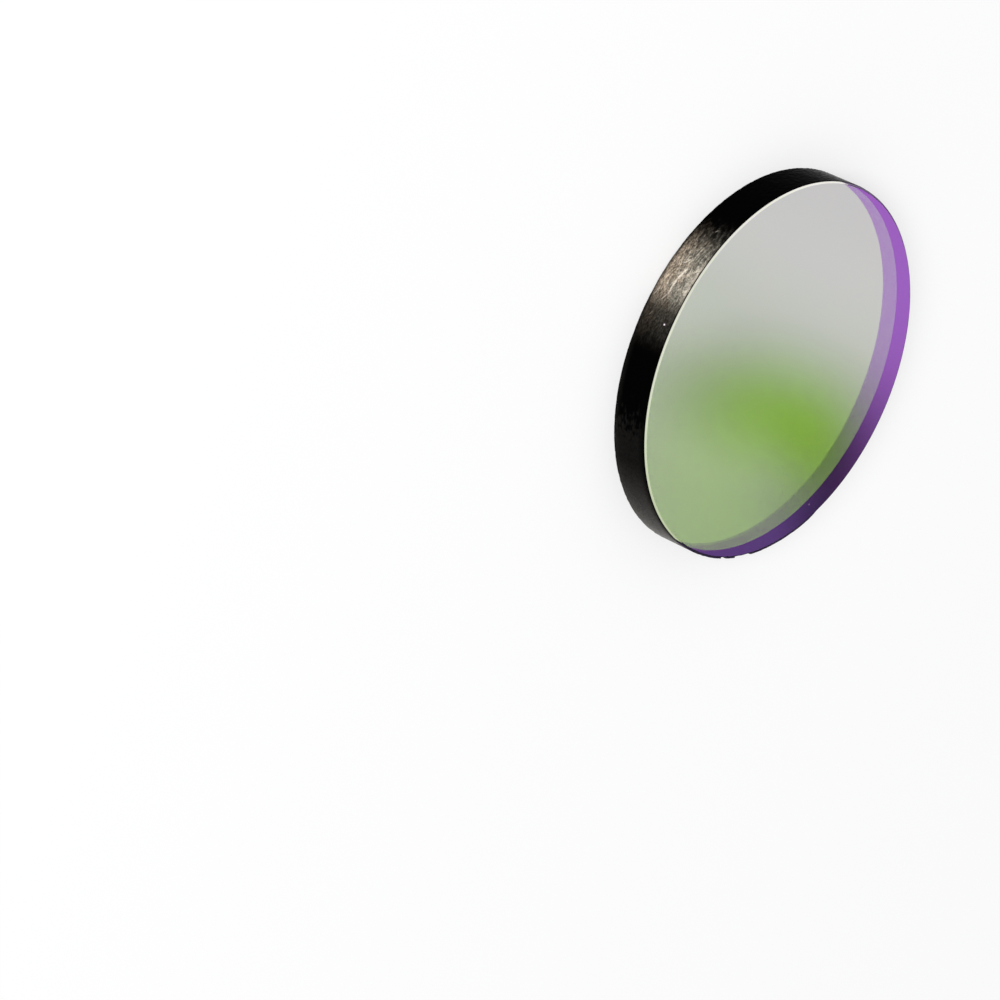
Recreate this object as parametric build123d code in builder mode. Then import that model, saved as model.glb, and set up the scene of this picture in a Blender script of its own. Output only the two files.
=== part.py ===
from build123d import *
import os

os.makedirs("parts", exist_ok=True)

# Unmounted optical bandpass filter, in millimetres. It lies on its rear face: the origin is the
# centre of that face, and +Z is the optical axis, out of the front face.

# Finished size, over the ink and over both films
filter_diameter = 25.0
filter_thickness = 2.6

# Bevel ground at 45 degrees on both rims of the glass, measured across the face
bevel = 0.09

# Film stacks deposited on the polished faces
bandpass_film = 0.012
blocking_film = 0.012

# Ink brushed round the ground wall and over the rear bevel, with rounded lips
ink_thickness = 0.05
ink_lip_radius = 0.02

# Shell chips along the front rim: angle from +X in degrees, width and depth
rim_chips = [(13.0, 0.50, 0.10), (20.2, 0.80, 0.09), (23.8, 0.70, 0.10)]

# What follows from those sizes
outer_radius = filter_diameter / 2
wall_radius = outer_radius - ink_thickness
face_radius = wall_radius - bevel
rear_face = blocking_film
front_face = filter_thickness - bandpass_film
rear_shoulder = rear_face + bevel
front_shoulder = front_face - bevel


def scoop_rim_chips():
    """Take each chip out of the part being built, as a shallow shell centred on the front shoulder."""
    for angle, width, depth in rim_chips:
        shell_radius = (width**2 / 4 + depth**2) / (2 * depth)
        with Locations((0, 0, front_shoulder)):
            with PolarLocations(outer_radius - depth + shell_radius, 1, start_angle=angle):
                Sphere(shell_radius, mode=Mode.SUBTRACT)


# The plate: one thick disc of clear glass, edged on a grinder, bevelled, and polished on both faces
with BuildPart() as glass_substrate:
    with BuildSketch(Plane.XY.offset(rear_face)):
        Circle(wall_radius)
    extrude(amount=front_face - rear_face)
    chamfer(glass_substrate.edges().filter_by(GeomType.CIRCLE), length=bevel)
    scoop_rim_chips()

glass_substrate.part.label = "glass_substrate"
export_step(glass_substrate.part, "parts/glass_substrate.step")

# Front film stack, which passes the band and reflects violet. It covers the face up to the bevel.
with BuildPart() as bandpass_coating:
    with BuildSketch(Plane.XY.offset(front_face)):
        Circle(face_radius)
    extrude(amount=bandpass_film)

bandpass_coating.part.label = "bandpass_coating"
export_step(bandpass_coating.part, "parts/bandpass_coating.step")

# Rear film stack, which blocks what is outside the band. The filter rests on it.
with BuildPart() as blocking_coating:
    with BuildSketch(Plane.XY):
        Circle(face_radius)
    extrude(amount=blocking_film)

blocking_coating.part.label = "blocking_coating"
export_step(blocking_coating.part, "parts/blocking_coating.step")

# Black ink against stray light. It starts at the front bevel, covers the ground wall and fills the
# corner over the rear bevel, flush with the rear face of the glass.
with BuildPart() as edge_blackening:
    with BuildSketch(Plane.XZ):
        with BuildLine():
            Polyline(
                (wall_radius, front_shoulder),
                (outer_radius, front_shoulder),
                (outer_radius, rear_face),
                (face_radius, rear_face),
                (wall_radius, rear_shoulder),
                close=True,
            )
        make_face()
    revolve(axis=Axis.Z)
    outer_lips = edge_blackening.edges().filter_by(GeomType.CIRCLE).group_by(SortBy.RADIUS)[-1]
    fillet(outer_lips, radius=ink_lip_radius)
    scoop_rim_chips()

edge_blackening.part.label = "edge_blackening"
export_step(edge_blackening.part, "parts/edge_blackening.step")
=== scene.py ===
import math

import bmesh
import bpy
from mathutils import Matrix, Vector, noise


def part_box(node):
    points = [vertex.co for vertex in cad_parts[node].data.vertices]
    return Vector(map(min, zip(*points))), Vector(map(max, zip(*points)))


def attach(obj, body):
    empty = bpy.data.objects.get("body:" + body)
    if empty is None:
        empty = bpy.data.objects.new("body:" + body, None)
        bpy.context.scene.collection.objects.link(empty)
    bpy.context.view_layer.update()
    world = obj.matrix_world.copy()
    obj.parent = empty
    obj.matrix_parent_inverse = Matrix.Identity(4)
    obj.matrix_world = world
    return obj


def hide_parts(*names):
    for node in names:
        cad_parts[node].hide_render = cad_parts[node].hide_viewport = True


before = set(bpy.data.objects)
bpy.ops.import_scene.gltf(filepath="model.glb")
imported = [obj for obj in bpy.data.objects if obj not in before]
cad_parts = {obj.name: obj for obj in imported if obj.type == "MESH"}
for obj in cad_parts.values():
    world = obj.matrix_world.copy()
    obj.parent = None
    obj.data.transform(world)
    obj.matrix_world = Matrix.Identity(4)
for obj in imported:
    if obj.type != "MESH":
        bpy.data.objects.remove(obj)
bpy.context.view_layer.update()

# The glass plate: one thick disc of clear crown glass, ground to its diameter, with a fine-ground
# bevel on each rim and both faces polished. A film stack is deposited on each face, so the glass
# and its films are one closed piece here, with a finish of its own on each surface.
MM = 0.001
FACE_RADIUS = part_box("bandpass_coating")[1].x
WALL_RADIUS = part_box("glass_substrate")[1].x
OUTER_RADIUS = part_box("edge_blackening")[1].x
FRONT_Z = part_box("bandpass_coating")[1].z
REAR_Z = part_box("blocking_coating")[0].z
FRONT_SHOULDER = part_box("edge_blackening")[1].z
INK_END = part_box("edge_blackening")[0].z
REAR_SHOULDER = INK_END + WALL_RADIUS - FACE_RADIUS
TURN_STEPS = 1440
POLE_RADIUS = 0.1 * MM

# Shell chips along the front rim: angle in degrees, width and depth
RIM_CHIPS = [(13.0, 0.50 * MM, 0.10 * MM), (20.2, 0.80 * MM, 0.09 * MM), (23.8, 0.70 * MM, 0.10 * MM)]

# A fleck of dust on the front face: its angle in degrees, distance from the centre, length and width
FLECK_ANGLE = 52.5
FLECK_RADIUS = 11.40 * MM
FLECK_LENGTH = 0.11 * MM
FLECK_WIDTH = 0.088 * MM

# Between these angles the front bevel is bare ground glass, which narrows to nothing over the last
# degrees. Elsewhere the ink has stained it, and a little of the face beside it.
BARE_FROM, BARE_TO = -172.0, -9.0
BARE_FADE = 4.0
FACE_STAIN = 0.03 * MM


def rim_point(angle, radius, z):
    """The point at that angle round the rim, in degrees from +X."""
    turn = math.radians(angle)
    return Vector((radius * math.cos(turn), radius * math.sin(turn), z))


def angle_of(point):
    """The angle of a point round the rim, in degrees from +X, from -180 to 180."""
    return math.degrees(math.atan2(point.y, point.x))


def steps_between(start, end, count):
    """Corners that divide the way from start to end evenly, without the end itself."""
    return [tuple(a + (b - a) * i / count for a, b in zip(start, end)) for i in range(count)]


def grown_ring(bm, edges, radius, z):
    """Extrudes a ring of edges to a new radius and height, and returns the new ring."""
    grown = bmesh.ops.extrude_edge_only(bm, edges=edges)["geom"]
    verts = [item for item in grown if isinstance(item, bmesh.types.BMVert)]
    size = radius / verts[0].co.xy.length
    bmesh.ops.scale(bm, verts=verts, vec=(size, size, 1))
    bmesh.ops.translate(bm, verts=verts, vec=(0, 0, z - verts[0].co.z))
    new = set(verts)
    return [item for item in grown if isinstance(item, bmesh.types.BMEdge) and new.issuperset(item.verts)]


def turned(section, closed=False):
    """A bmesh turned about the optical axis from a half section, whose corners are (radius, z)."""
    bm = bmesh.new()
    radius, z = section[0]
    circle = bmesh.ops.create_circle(bm, segments=TURN_STEPS, radius=radius)["verts"]
    bmesh.ops.translate(bm, verts=circle, vec=(0, 0, z))
    first = list(bm.edges)
    last = first
    for radius, z in section[1:]:
        last = grown_ring(bm, last, radius, z)
    if closed:
        bmesh.ops.bridge_loops(bm, edges=first + last)
    else:
        for ring in (first, last):
            z = ring[0].verts[0].co.z
            ring = grown_ring(bm, ring, POLE_RADIUS, z)
            pole = list({vert for edge in ring for vert in edge.verts})
            bmesh.ops.pointmerge(bm, verts=pole, merge_co=(0, 0, z))
    bmesh.ops.recalc_face_normals(bm, faces=bm.faces)
    return bm


def finished(bm, name, materials, crease=20):
    """The object made from a bmesh: smooth, with a hard line wherever it turns by more than crease."""
    for face in bm.faces:
        face.smooth = True
    for edge in bm.edges:
        edge.smooth = edge.calc_face_angle(0) < math.radians(crease)
    mesh = bpy.data.meshes.new(name)
    bm.to_mesh(mesh)
    bm.free()
    for material in materials:
        mesh.materials.append(material)
    piece = bpy.data.objects.new(name, mesh)
    bpy.context.scene.collection.objects.link(piece)
    return piece


def new_material(name):
    """A material without any nodes yet, and its node tree."""
    material = bpy.data.materials.new(name)
    material.use_nodes = True
    material.node_tree.nodes.clear()
    return material, material.node_tree


def node(tree, kind, inputs=None, **settings):
    """A new node with those settings. Each of the inputs is linked to a socket or set to a plain value."""
    made = tree.nodes.new(kind)
    for name, value in settings.items():
        setattr(made, name, value)
    for name, value in (inputs or {}).items():
        if isinstance(value, bpy.types.NodeSocket):
            tree.links.new(value, made.inputs[name])
        else:
            made.inputs[name].default_value = value
    return made


def surfaced(material, shader):
    """The material, with that shader on its surface."""
    node(material.node_tree, "ShaderNodeOutputMaterial", {"Surface": shader})
    return material


def own_place(tree):
    """The piece's own coordinates."""
    return node(tree, "ShaderNodeTexCoord").outputs["Object"]


def parts_of(tree, vector):
    """The X, Y and Z of a vector."""
    return list(node(tree, "ShaderNodeSeparateXYZ", {"Vector": vector}).outputs)


def distance(tree, place, centre):
    """How far place is from a centre."""
    return node(tree, "ShaderNodeVectorMath", {0: place, 1: centre}, operation="DISTANCE").outputs["Value"]


def reckon(tree, operation, *values):
    """A Math node's result, for values that are sockets or plain numbers."""
    return node(tree, "ShaderNodeMath", dict(enumerate(values)), operation=operation).outputs["Value"]


def product(tree, first, *others):
    """All the values multiplied."""
    for value in others:
        first = reckon(tree, "MULTIPLY", first, value)
    return first


def eased(tree, value, start, end, low=0.0, high=1.0):
    """Goes smoothly from low to high as value goes from start to end."""
    ends = {"Value": value, "From Min": start, "From Max": end, "To Min": low, "To Max": high}
    return node(tree, "ShaderNodeMapRange", ends, interpolation_type="SMOOTHSTEP").outputs["Result"]


def mottle(tree, size, stretch=(1, 1, 1), detail=2):
    """Noise of that size, in metres, on the piece's own coordinates, drawn out where stretch is small."""
    drawn_out = node(tree, "ShaderNodeMapping", {"Vector": own_place(tree), "Scale": stretch})
    look = {"Vector": drawn_out.outputs["Vector"], "Scale": 1 / size, "Detail": detail}
    return node(tree, "ShaderNodeTexNoise", look).outputs["Fac"]


def two_tones(tree, share, first, second):
    """A colour between first and second, by a share from 0 to 1. Each is a socket or a plain colour."""
    first, second = ((*tone, 1) if isinstance(tone, tuple) else tone for tone in (first, second))
    mix = node(tree, "ShaderNodeMix", {"Factor": share, "A": first, "B": second}, data_type="RGBA")
    return mix.outputs["Result"]


GLASS_IOR = 1.53

# Seen from the camera, the far wall shows through the front face in a crescent this deep.
CRESCENT_DEPTH = 1.66 * MM

# A bluer tint painted into the front film's reflection, over the crescent where the far wall shows through:
# its tone, where it begins and is full along X, and the same for the distance from the centre of the
# crescent's inner border
CRESCENT_REFLECTION_VIOLET = (0.270, 0.121, 0.507)
EDGE_STRETCH = (4.5 * MM, 7.5 * MM)
EDGE_BORDER = (12.15 * MM, 12.5 * MM)


def painted_bluer_crescent(tree, tone):
    """A film's tone, with a bluer tint of its reflection painted in the crescent along one stretch of its
    edge.
    """
    place = own_place(tree)
    from_centre = distance(tree, place, (0, -CRESCENT_DEPTH, FRONT_Z))
    crescent = eased(tree, from_centre, *EDGE_BORDER)
    stretch = eased(tree, parts_of(tree, place)[0], *EDGE_STRETCH)
    return two_tones(tree, product(tree, crescent, stretch), tone, CRESCENT_REFLECTION_VIOLET)


def film_finish(name, reflected, passed, front=False):
    """A polished face with its film stack, which mirrors one part of the light and lets another in.

    The front film mirrors only what comes from outside.
    """
    material, tree = new_material(name)
    tone = two_tones(tree, mottle(tree, 6 * MM), *reflected)
    if front:
        # The front film gets a painted bluer reflection in the crescent.
        tone = painted_bluer_crescent(tree, tone)
    mirror = node(tree, "ShaderNodeBsdfGlossy", {"Color": tone, "Roughness": 0.0}).outputs["BSDF"]
    look = {"Color": (*passed, 1), "Roughness": 0.0, "IOR": GLASS_IOR}
    clear = node(tree, "ShaderNodeBsdfRefraction", look).outputs["BSDF"]
    both = node(tree, "ShaderNodeAddShader", {0: mirror, 1: clear}).outputs["Shader"]
    if not front:
        return surfaced(material, both)
    from_inside = node(tree, "ShaderNodeNewGeometry").outputs["Backfacing"]
    by_side = node(tree, "ShaderNodeMixShader", {"Fac": from_inside, 1: both, 2: clear})
    return surfaced(material, by_side.outputs["Shader"])


# The front stack mirrors violet, and the rear one pale green. Both pass yellow-green.
front_film = film_finish("violet_bandpass_film", [(0.312, 0.118, 0.510), (0.328, 0.112, 0.490)],
                         (0.60, 0.75, 0.35), front=True)
rear_film = film_finish("rear_blocking_film", [(0.465, 0.535, 0.325), (0.475, 0.525, 0.335)],
                        (0.283, 0.467, 0.034))

# Painted light and shade on the ground glass, as tones at both ends of X, and at shares of the way between
# them
GROUND_LIGHT_ENDS = [(0.92, 0.90, 0.84), (0.46, 0.53, 0.33)]
GROUND_LIGHT_BETWEEN = [(0.13, (0.735, 0.725, 0.655)), (0.40, (0.54, 0.545, 0.46)), (0.50, (0.57, 0.585, 0.485))]


def ground_finish():
    """Fine-ground bare glass: white grit, painted brightest towards -X and darker and greener towards +X,
    where green light from inside the plate shows.
    """
    material, tree = new_material("fine_ground_glass")
    x = parts_of(tree, own_place(tree))[0]
    width = {"Value": x, "From Min": -OUTER_RADIUS, "From Max": OUTER_RADIUS}
    along = node(tree, "ShaderNodeMapRange", width).outputs["Result"]
    # Painted light and shade along X.
    tones = node(tree, "ShaderNodeValToRGB", {"Fac": along})
    for end, tone in zip(tones.color_ramp.elements, GROUND_LIGHT_ENDS):
        end.color = (*tone, 1)
    for share, tone in GROUND_LIGHT_BETWEEN:
        tones.color_ramp.elements.new(share).color = (*tone, 1)
    grit = mottle(tree, 0.06 * MM, detail=4)
    grind = node(tree, "ShaderNodeBump", {"Height": grit, "Distance": 0.01 * MM, "Strength": 0.6})
    look = {"Base Color": tones.outputs["Color"], "Roughness": 0.65, "Specular IOR Level": 0.3,
            "Normal": grind.outputs["Normal"]}
    return surfaced(material, node(tree, "ShaderNodeBsdfPrincipled", look).outputs["BSDF"])


def patchy_finish(name, dark, light):
    """A matt surface without any shine, in patches between a dark tone and a light one."""
    material, tree = new_material(name)
    tone = two_tones(tree, mottle(tree, 0.2 * MM, detail=3), dark, light)
    look = {"Base Color": tone, "Roughness": 0.8, "Specular IOR Level": 0.0}
    return surfaced(material, node(tree, "ShaderNodeBsdfPrincipled", look).outputs["BSDF"])


# The plate's surfaces: the two films, the bare ground glass, the ground glass that the ink has wetted,
# the lighter stain that it left on part of the front bevel, and the fleck of dust
FRONT_FACE, REAR_FACE, GROUND, INKED, STAINED, FLECK = range(6)
plate_finishes = [front_film, rear_film, ground_finish(),
                  patchy_finish("inked_glass", (0.004, 0.010, 0.005), (0.016, 0.032, 0.018)),
                  patchy_finish("stained_bevel", (0.09, 0.07, 0.12), (0.30, 0.23, 0.37)),
                  patchy_finish("dusty_film", (0.20, 0.11, 0.28), (0.26, 0.15, 0.34))]

# Rows lie close together at the face's edge, on the bevels and where the chips bite into the wall.
face_edge = FACE_RADIUS - 0.12 * MM
chip_floor = FRONT_SHOULDER - 0.42 * MM
plate_section = [(0.5 * FACE_RADIUS, FRONT_Z)]
plate_section += [(FLECK_RADIUS + side * FLECK_LENGTH / 2, FRONT_Z) for side in (-1, 1)]
plate_section += steps_between((face_edge, FRONT_Z), (FACE_RADIUS, FRONT_Z), 10)
plate_section += steps_between((FACE_RADIUS, FRONT_Z), (WALL_RADIUS, FRONT_SHOULDER), 5)
plate_section += steps_between((WALL_RADIUS, FRONT_SHOULDER), (WALL_RADIUS, chip_floor), 10)
plate_section += steps_between((WALL_RADIUS, chip_floor), (WALL_RADIUS, REAR_SHOULDER), 2)
plate_section += steps_between((WALL_RADIUS, REAR_SHOULDER), (FACE_RADIUS, REAR_Z), 2)
plate_section += [(FACE_RADIUS, REAR_Z), (0.5 * FACE_RADIUS, REAR_Z)]
plate = turned(plate_section)

# A face counts as level, and so as polished, if the Z of its normal is larger than this.
LEVEL = 0.99

for face in plate.faces:
    middle = face.calc_center_median()
    radius = middle.xy.length
    angle = angle_of(middle)
    bare = max(0, min(1, (angle - BARE_FROM) / BARE_FADE, (BARE_TO - angle) / BARE_FADE))
    if middle.z < FRONT_SHOULDER:
        face.material_index = REAR_FACE if face.normal.z < -LEVEL else INKED
    elif face.normal.z > LEVEL:
        face.material_index = INKED if radius > FACE_RADIUS - FACE_STAIN * (1 - bare) else FRONT_FACE
        aside = abs(angle - FLECK_ANGLE) * math.radians(FLECK_RADIUS)
        if aside < FLECK_WIDTH / 2 and abs(radius - FLECK_RADIUS) < FLECK_LENGTH / 2:
            face.material_index = FLECK
    elif middle.z - FRONT_SHOULDER < (1 - bare) * (FRONT_Z - FRONT_SHOULDER):
        face.material_index = STAINED if middle.x < 0 else INKED
    else:
        face.material_index = GROUND

for angle, width, depth in RIM_CHIPS:
    shell = (width**2 / 4 + depth**2) / (2 * depth)
    centre = rim_point(angle, OUTER_RADIUS - depth + shell, FRONT_SHOULDER)
    outwards = rim_point(angle, 1, 0)
    for vert in plate.verts:
        reach = vert.co - centre
        if reach.length < shell:
            along = reach.dot(outwards)
            vert.co -= outwards * (along + math.sqrt(shell**2 - reach.length_squared + along**2))
            for face in vert.link_faces:
                face.material_index = INKED

plate = finished(plate, "coated_plate", plate_finishes)
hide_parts("glass_substrate", "bandpass_coating", "blocking_coating")
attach(plate, "root")

# The blackening: ink brushed round the ground wall, against stray light. It is matt and nearly black,
# with a brown-grey sheen painted in one patch and a grey reflection painted towards +X, and it has run
# over part of the front bevel.
INK_LIP = 0.02 * MM
LIP_STEPS = 3
INK_ROWS = 30
SKIN = 0.001 * MM

# Brush marks: their depth, how much of the wall they cover, each size of them with its share, and how
# many times longer round the wall than high they are
INK_GRAIN = 0.022 * MM
GRAIN_LIFT = 0.35
GRAIN_SIZES = [(0.35 * MM, 1.0), (0.13 * MM, 0.6)]
GRAIN_SQUASH = 2.5

# Where a run of ink stands on the front bevel, as the angles where it starts, is full, is full to and
# ends, and how much of the bevel's height it covers. Then where the coat thins out below the edge
# instead, over what height and how far.
INK_RUN = (-12.0, -8.0, 50.0, 57.0)
RUN_HEIGHT = 0.95
THIN_COAT = (66.0, 74.0, 184.0, 191.0)
FEATHER = 0.15 * MM
FEATHER_DEPTH = 0.85

# Scratches in the painted sheen, real marks painted bright as glints, each from one point (angle, height)
# to another, with its width and brightness, in degrees and millimetres. The first five are one long curved
# stroke.
SCRATCHES = [
    ((-113.0, 1.56), (-109.6, 1.46), 0.080, 0.45),
    ((-108.4, 1.30), (-106.4, 1.00), 0.090, 0.60),
    ((-105.5, 1.47), (-101.2, 1.22), 0.130, 0.90),
    ((-101.6, 1.23), (-96.4, 1.18), 0.110, 0.75),
    ((-96.8, 1.19), (-94.4, 0.90), 0.085, 0.32),
    ((-106.4, 2.30), (-103.4, 1.62), 0.120, 0.32),
    ((-119.8, 1.52), (-118.9, 1.42), 0.060, 0.30),
    ((-97.2, 0.42), (-94.8, 0.22), 0.080, 0.30),
    ((-90.6, 0.74), (-89.2, 0.58), 0.050, 0.15),
    ((-108.0, 2.34), (-97.0, 2.28), 0.170, 0.30),
]

# One pale speck stuck in the ink
SPECK = rim_point(-88.4, OUTER_RADIUS, 1.95 * MM)
SPECK_RADIUS = 0.075 * MM

# Where the painted sheen opens, closes and fades out, as angles in degrees with how ragged its border is.
# Then the same for the painted grey reflection, which also rises from one angle on over a span.
SHEEN_OPENS = (-124.0, -104.5)
SHEEN_CLOSES = (-91.0, -99.5)
SHEEN_FADES = (-79.0, -96.0)
SHEEN_RAGGED = 4.5
GREY_STARTS = (-62.0, -53.0)
GREY_ENDS = (22.0, 2.0)
GREY_RAGGED = 15.0
GREY_FROM, GREY_SPAN = -60.0, 50.0

# Heights in millimetres over which the painted sheen and the painted grey reflection end below the front
# edge, and over which the run on the bevel begins
UNDER_LIP = (2.48, 2.39)
ON_BEVEL = (2.49, 2.52)

INK_BLACK = (0.0008, 0.0007, 0.0007)
# The two sheen tones are a highlight of the lamp on the ink, painted into its colour.
SHEEN_BROWN = (0.60, 0.49, 0.375)
SHEEN_GREY = (0.57, 0.525, 0.43)
# The glint painted on the scratches in the sheen.
SCRATCH_GLINT = (0.84, 0.74, 0.62)
# A grey reflection painted on the ink towards its +X end.
PAINTED_REFLECTION_GREY = (0.30, 0.285, 0.265)
RUN_LILAC = (0.035, 0.024, 0.050)
SPECK_PINK = (0.72, 0.62, 0.68)


def ink_section():
    """Half section of the ring of ink. Its outer lips are rounded, and its foot covers the rear bevel."""
    low, high = INK_END + INK_LIP, FRONT_SHOULDER - INK_LIP
    turns = [math.radians(90 * i / LIP_STEPS) for i in range(LIP_STEPS + 1)]
    corners = [(FACE_RADIUS + 2 * SKIN, INK_END)]
    corners += [(OUTER_RADIUS - INK_LIP * (1 - math.sin(turn)),
                 INK_END + INK_LIP * (1 - math.cos(turn))) for turn in turns]
    corners += steps_between((OUTER_RADIUS, low), (OUTER_RADIUS, high), INK_ROWS)[1:]
    corners += [(OUTER_RADIUS - INK_LIP * (1 - math.cos(turn)),
                 FRONT_SHOULDER - INK_LIP * (1 - math.sin(turn))) for turn in turns]
    corners += [(WALL_RADIUS + 3 * SKIN, FRONT_SHOULDER), (WALL_RADIUS + SKIN, FRONT_SHOULDER)]
    return corners + [(WALL_RADIUS + SKIN, REAR_SHOULDER)]


def between(value, start, full, full_end, end):
    """0 outside start and end, 1 from full to full_end, and a smooth way between them."""
    share = max(0, min(1, (value - start) / (full - start), (end - value) / (end - full_end)))
    return share * share * (3 - 2 * share)


ink = turned(ink_section(), closed=True)
for vert in ink.verts:
    outwards = Vector((vert.co.x, vert.co.y, 0)).normalized()
    radius = vert.co.xy.length
    angle = angle_of(vert.co)
    under_edge = FRONT_SHOULDER - vert.co.z
    outside = radius > WALL_RADIUS + 0.5 * INK_LIP
    if outside:
        place = Vector((vert.co.x, vert.co.y, GRAIN_SQUASH * vert.co.z))
        grain = sum(share * noise.noise(place / size) for size, share in GRAIN_SIZES)
        vert.co -= outwards * INK_GRAIN * max(0, min(1, GRAIN_LIFT + grain))
        if under_edge < FEATHER:
            thinned = FEATHER_DEPTH * between(angle % 360, *THIN_COAT) * (1 - under_edge / FEATHER)
            vert.co -= outwards * thinned * (vert.co.xy.length - WALL_RADIUS)
    edge = FRONT_SHOULDER
    for chip_angle, width, depth in RIM_CHIPS:
        along = math.radians(angle - chip_angle) * OUTER_RADIUS
        if abs(along) < width / 2:
            edge = min(edge, FRONT_SHOULDER - math.sqrt(width**2 / 4 - along**2))
    on_lip = under_edge < INK_LIP + SKIN and radius > WALL_RADIUS + 2 * SKIN
    if on_lip and edge == FRONT_SHOULDER:
        run = RUN_HEIGHT * between(angle, *INK_RUN)
        vert.co.z += run * (FRONT_Z - FRONT_SHOULDER)
        if not outside:
            vert.co -= outwards * run * (WALL_RADIUS - FACE_RADIUS)
    share = (edge - INK_END) / (FRONT_SHOULDER - INK_END)
    vert.co.z = INK_END + (vert.co.z - INK_END) * share


def ragged(tree, angle, blotches, reach):
    """The angle, astray by up to reach degrees where the ink is blotched."""
    return reckon(tree, "ADD", angle, reckon(tree, "MULTIPLY_ADD", blotches, 2 * reach, -reach))


def sheen_share(tree, angle, height, blotches):
    """How strong the painted sheen is, a highlight painted into the ink. The patch has a ragged border on
    one side, and fades out on the other.
    """
    across = ragged(tree, angle, blotches, SHEEN_RAGGED)
    opening = reckon(tree, "POWER", eased(tree, across, *SHEEN_OPENS), 1.7)
    closing = reckon(tree, "ADD", eased(tree, across, *SHEEN_CLOSES, 0.0, 0.84),
                     eased(tree, angle, *SHEEN_FADES, 0.0, 0.16))
    over_table = eased(tree, height, 0.06, 0.32, 0.25, 1.0)
    return product(tree, opening, closing, over_table)


def scratch(tree, angle, height, start, end, width, strength):
    """How bright one straight scratch is at an angle in degrees and a height in millimetres."""
    slope = (end[1] - start[1]) / (end[0] - start[0])
    line = reckon(tree, "MULTIPLY_ADD", angle, slope, start[1] - slope * start[0])
    off = reckon(tree, "ABSOLUTE", reckon(tree, "SUBTRACT", height, line))
    across = eased(tree, off, 0.0, width, strength, 0.0)
    middle, reach = (start[0] + end[0]) / 2, abs(end[0] - start[0]) / 2
    from_middle = reckon(tree, "ABSOLUTE", reckon(tree, "SUBTRACT", angle, middle))
    return product(tree, across, eased(tree, from_middle, 0.6 * reach, 1.3 * reach, 1.0, 0.0))


def scratch_glint_share(tree, angle, height, dust):
    """How bright the scratches are painted: real marks, painted as glints of the sheen."""
    broken = eased(tree, dust, 0.34, 0.60, 0.6, 1.0)
    glints = 0.0
    for start, end, width, strength in SCRATCHES:
        mark = product(tree, scratch(tree, angle, height, start, end, width, strength), broken)
        glints = reckon(tree, "MAXIMUM", glints, mark)
    return glints


def grey_reflection_share(tree, angle, height, blotches, under_lip):
    """How much painted grey reflection shows on the ink, rising towards +X, most of all near the table."""
    rising = reckon(tree, "MULTIPLY_ADD", angle, 1 / GREY_SPAN, -GREY_FROM / GREY_SPAN)
    rising = reckon(tree, "MINIMUM", reckon(tree, "MAXIMUM", rising, 0.0), 1.0)
    start = eased(tree, ragged(tree, angle, blotches, GREY_RAGGED), *GREY_STARTS, 0.0, 0.044)
    grey_reflection = product(tree, reckon(tree, "MAXIMUM", reckon(tree, "POWER", rising, 2.6), start), under_lip,
                   eased(tree, angle, *GREY_ENDS, 0.0, 0.41),
                   eased(tree, height, 2.5, 1.9, 0.25, 1.0),
                   eased(tree, height, 1.3, 0.1, 1.0, 1.3))
    foot = product(tree, eased(tree, height, 0.5, 0.1, 0.0, 0.014), eased(tree, angle, -100.0, -80.0))
    return reckon(tree, "ADD", grey_reflection, foot)


def ink_finish():
    """Matt black ink with brush marks, a painted brown-grey sheen with its scratches painted as glints, a
    painted grey reflection towards +X, and one pale speck.
    """
    material, tree = new_material("brushed_black_ink")
    place = own_place(tree)
    x, y, z = parts_of(tree, place)
    angle = reckon(tree, "DEGREES", reckon(tree, "ARCTAN2", y, x))
    height = reckon(tree, "DIVIDE", z, MM)
    broad = mottle(tree, 0.9 * MM, detail=1)
    blotches = mottle(tree, 0.32 * MM, stretch=(0.7, 1, 1.8), detail=3)
    grain = mottle(tree, 0.13 * MM, stretch=(0.5, 1, 1.5), detail=4)
    dust = mottle(tree, 0.10 * MM)
    under_lip = eased(tree, height, *UNDER_LIP, 0.12, 1.0)
    texture = product(tree, eased(tree, blotches, 0.34, 0.66, 0.32, 0.68),
                      eased(tree, grain, 0.36, 0.62, 0.50, 1.14),
                      eased(tree, dust, 0.36, 0.64, 0.75, 1.35))

    # The painted sheen is grey near the front edge and brown near the table.
    painted_sheen = product(tree, sheen_share(tree, angle, height, blotches), under_lip, texture)
    higher = reckon(tree, "MULTIPLY_ADD", broad, 2.4, height)
    sheen_tone = two_tones(tree, eased(tree, higher, 1.7, 3.1), SHEEN_BROWN, SHEEN_GREY)
    colour = two_tones(tree, reckon(tree, "MINIMUM", painted_sheen, 1.0), INK_BLACK, sheen_tone)
    colour = two_tones(tree, scratch_glint_share(tree, angle, height, dust), colour, SCRATCH_GLINT)

    # A little painted grey reflection shows towards +X. The run on the front bevel is thin, with the lilac
    # of the ground glass under it.
    speckled = eased(tree, grain, 0.3, 0.7, 0.7, 1.3)
    grey_reflection = product(tree, grey_reflection_share(tree, angle, height, blotches, under_lip), speckled)
    colour = two_tones(tree, grey_reflection, colour, PAINTED_REFLECTION_GREY)
    colour = two_tones(tree, eased(tree, height, *ON_BEVEL), colour, RUN_LILAC)
    speck = eased(tree, distance(tree, place, SPECK), SPECK_RADIUS, 0.5 * SPECK_RADIUS)
    colour = two_tones(tree, speck, colour, SPECK_PINK)

    marks = node(tree, "ShaderNodeBump", {"Height": texture, "Distance": 0.012 * MM, "Strength": 0.25})
    look = {"Base Color": colour, "Roughness": eased(tree, blotches, 0.3, 0.7, 0.07, 0.14), "IOR": 1.02,
            "Normal": marks.outputs["Normal"]}
    return surfaced(material, node(tree, "ShaderNodeBsdfPrincipled", look).outputs["BSDF"])


ink = finished(ink, "edge_ink", [ink_finish()], crease=60)
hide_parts("edge_blackening")
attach(ink, "root")

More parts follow.
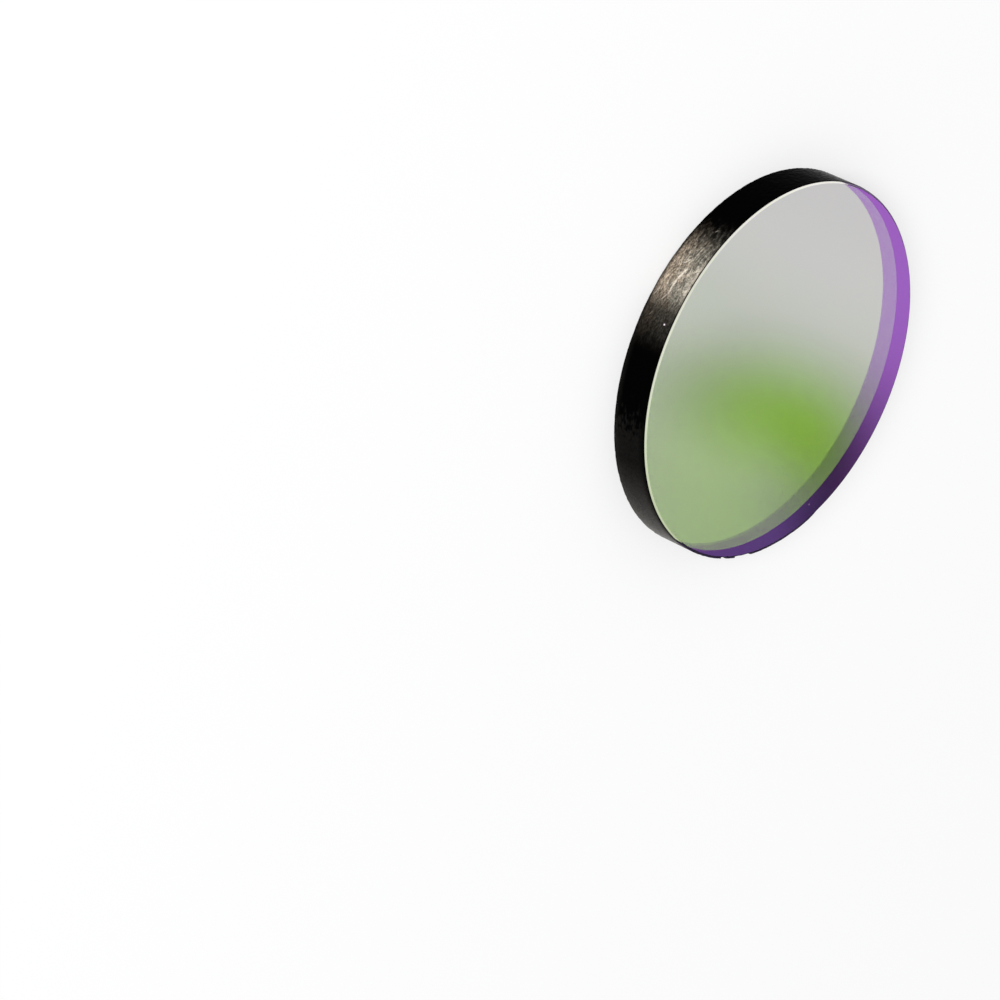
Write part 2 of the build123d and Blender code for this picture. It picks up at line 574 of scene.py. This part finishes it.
# The table: plain white paper, which looks a little whiter to the camera than its light makes it. What
# the polished faces let through is set here too, as soft shades that only refracted light sees.
TABLE_GAP = 0.03 * MM
TABLE_SIZE = 4.0
PAPER_WHITE = (0.97, 0.97, 0.975, 1)
CAMERA_LIFT = 0.6

# Light under the plate, and in the shaded crescent: from one X to another, with the level at each, and
# the distances from the crescent's centre between which its border lies
TABLE_LIT = (-17.0 * MM, 22.2 * MM, 0.358, 0.837)
TABLE_SHADED = (-4 * MM, 6 * MM, 0.44, 0.53)
SHADE_BORDER = (12.3 * MM, 12.6 * MM)

# Soft bright spots under the plate: strength, centre and radii in millimetres, and turn in degrees
TABLE_SPOTS = [(0.42, (2.34, 4.09), (5.88, 11.78), -5.6), (0.197, (5.1, -3.0), (6.79, 12.72), -31.0)]


def soft_spot(tree, place, centre, radii, turn=0):
    """1 at the centre of an ellipse in the X and Y of place, and smoothly down to 0 at its edge."""
    ellipse = {"Vector": place, "Location": (*centre, 0), "Rotation": (0, 0, math.radians(turn)),
               "Scale": (*radii, 1)}
    shares = node(tree, "ShaderNodeMapping", ellipse, vector_type="TEXTURE").outputs["Vector"]
    reach = node(tree, "ShaderNodeVectorMath", {0: shares}, operation="LENGTH").outputs["Value"]
    return eased(tree, reach, 1.0, 0.0)


def with_spots(tree, level, place, spots):
    """A level of light with soft spots added, which are brighter or, with a negative strength, darker."""
    for strength, centre, radii, turn in spots:
        spot = soft_spot(tree, place, Vector(centre) * MM, Vector(radii) * MM, turn)
        level = reckon(tree, "MULTIPLY_ADD", spot, strength, level)
    return level


def table_finish():
    """White paper. Under the plate, its light through the filter and the shade that the black wall throws in
    a crescent are painted, seen only by refracted light.
    """
    material, tree = new_material("white_table")
    flat = node(tree, "ShaderNodeVectorMath", {0: own_place(tree), 1: (1, 1, 0)}, operation="MULTIPLY")
    place = flat.outputs["Vector"]
    x = parts_of(tree, place)[0]
    lit = with_spots(tree, eased(tree, x, *TABLE_LIT), place, TABLE_SPOTS)
    shade = eased(tree, x, *TABLE_SHADED)
    shaded = eased(tree, distance(tree, place, (0, -CRESCENT_DEPTH, 0)), *SHADE_BORDER)
    under = node(tree, "ShaderNodeMix", {"Factor": shaded, "A": lit, "B": shade}).outputs["Result"]

    path = node(tree, "ShaderNodeLightPath").outputs
    level = node(tree, "ShaderNodeMix", {"Factor": path["Is Transmission Ray"], "A": 1.0, "B": under})
    white = node(tree, "ShaderNodeEmission", {"Strength": level.outputs["Result"]})
    paper = node(tree, "ShaderNodeBsdfDiffuse", {"Color": PAPER_WHITE})
    seen = reckon(tree, "MAXIMUM", path["Is Glossy Ray"], path["Is Transmission Ray"])
    seen = reckon(tree, "MULTIPLY_ADD", path["Is Camera Ray"], CAMERA_LIFT, seen)
    mix = node(tree, "ShaderNodeMixShader",
               {"Fac": seen, 1: paper.outputs["BSDF"], 2: white.outputs["Emission"]})
    material.cycles.emission_sampling = "NONE"
    return surfaced(material, mix.outputs["Shader"])


table = bmesh.new()
bmesh.ops.create_grid(table, x_segments=1, y_segments=1, size=TABLE_SIZE / 2)
bmesh.ops.translate(table, verts=table.verts, vec=(0, 0, REAR_Z - TABLE_GAP))
table = finished(table, "white_table", [table_finish()])

# The reflector: a white card over the table, which the polished face mirrors. Its light falls off
# towards one side, with a soft dark band, and its rim is as white as the room.
CARD_DISTANCE = 120 * MM
CARD_SIZE = 150 * MM
CARD_TILT = math.radians(124.54)
CARD_SPREAD = 1.3455
CARD_MIDDLE = 70 * MM

# How the card's light falls off along X and rises along Y, from one place to another with the change
# at each, and from where to where along X the rise sets in
CARD_FALL = (-8.08 * MM, 8.64 * MM, 0.029, -0.654)
CARD_RISE = (10.3 * MM, -96.4 * MM, 0.0, 1.495)
RISE_SETS_IN = (-4 * MM, 1 * MM)

# Soft dark spots on the card, laid out as those on the table
CARD_SPOTS = [(-0.463, (1.90, 0.90), (6.0, 19.0), 3.9), (-0.271, (6.98, 13.48), (6.23, 15.48), -27.2)]


def card_finish():
    """Soft light of uneven strength. It is laid out by where its mirror image falls on the front face."""
    material, tree = new_material("reflector_card")
    place = own_place(tree)
    spread = (CARD_SPREAD, CARD_SPREAD * math.cos(CARD_TILT), 1)
    on_face = node(tree, "ShaderNodeVectorMath", {0: place, 1: spread}, operation="DIVIDE").outputs["Vector"]
    x, y = parts_of(tree, on_face)[:2]
    fall = eased(tree, x, *CARD_FALL)
    rise = product(tree, eased(tree, y, *CARD_RISE), eased(tree, x, *RISE_SETS_IN))
    change = with_spots(tree, reckon(tree, "ADD", fall, rise), on_face, CARD_SPOTS)
    middle = eased(tree, soft_spot(tree, place, (0, 0), (CARD_MIDDLE, CARD_MIDDLE)), 0.0, 0.6)
    light = node(tree, "ShaderNodeEmission", {"Strength": reckon(tree, "MULTIPLY_ADD", change, middle, 1.0)})
    material.cycles.emission_sampling = "NONE"
    return surfaced(material, light.outputs["Emission"])


card = bmesh.new()
bmesh.ops.create_grid(card, x_segments=1, y_segments=1, size=CARD_SIZE / 2)
card = finished(card, "reflector_card", [card_finish()])
card.location = (0, CARD_DISTANCE * math.sin(CARD_TILT), FRONT_Z - CARD_DISTANCE * math.cos(CARD_TILT))
card.rotation_euler = (CARD_TILT, 0, 0)
card.visible_camera = False
card.visible_diffuse = False
card.visible_shadow = False

# The studio light: even light all round, and one soft lamp low on the camera's side. Mirrored,
# refracted and straight ahead, the room is plain white.
WHITE = (1, 1, 1, 1)
EVEN_LEVEL = 0.70
ROOM_LEVEL = 1.0
LAMP_POWER = 2.1
LAMP_SIZE = 0.20
LAMP_PLACE = Vector((0.055, -0.527, 0.282))

world = bpy.data.worlds.new("studio")
bpy.context.scene.world = world
world.use_nodes = True
sky = world.node_tree
sky.nodes.clear()
even_light = node(sky, "ShaderNodeBackground", {"Color": WHITE, "Strength": EVEN_LEVEL})
white_room = node(sky, "ShaderNodeBackground", {"Color": WHITE, "Strength": ROOM_LEVEL})
path = node(sky, "ShaderNodeLightPath").outputs
seen = reckon(sky, "MAXIMUM", path["Is Camera Ray"], path["Is Glossy Ray"])
seen = reckon(sky, "MAXIMUM", seen, path["Is Transmission Ray"])
mix = node(sky, "ShaderNodeMixShader",
           {"Fac": seen, 1: even_light.outputs["Background"], 2: white_room.outputs["Background"]})
node(sky, "ShaderNodeOutputWorld", {"Surface": mix.outputs["Shader"]})

lamp_data = bpy.data.lights.new("soft_lamp", "AREA")
lamp_data.shape = "DISK"
lamp_data.size = LAMP_SIZE
lamp_data.energy = LAMP_POWER
lamp = bpy.data.objects.new("soft_lamp", lamp_data)
lamp.location = LAMP_PLACE
lamp.rotation_euler = (-LAMP_PLACE).to_track_quat("-Z", "Y").to_euler()
lamp.visible_glossy = False
bpy.context.scene.collection.objects.link(lamp)

# The camera: a long lens that looks down on the front face at 34.5 degrees, rolled as in the photograph.
CAMERA_PLACE = Vector((0, -285.32 * MM, 198.62 * MM))
CAMERA_AIM = Vector((14.01 * MM, -17.65 * MM, 0))
CAMERA_ROLL = math.radians(-116.31)

camera_data = bpy.data.cameras.new("camera")
camera_data.lens = 200
camera_data.sensor_width = 36
camera_data.clip_start = 0.01
camera = bpy.data.objects.new("camera", camera_data)
level_view = (CAMERA_AIM - CAMERA_PLACE).to_track_quat("-Z", "Y").to_matrix()
rolled_view = level_view @ Matrix.Rotation(-CAMERA_ROLL, 3, "Z")
camera.matrix_world = Matrix.Translation(CAMERA_PLACE) @ rolled_view.to_4x4()
bpy.context.scene.collection.objects.link(camera)
bpy.context.scene.camera = camera

bpy.context.scene.view_settings.view_transform = "Standard"
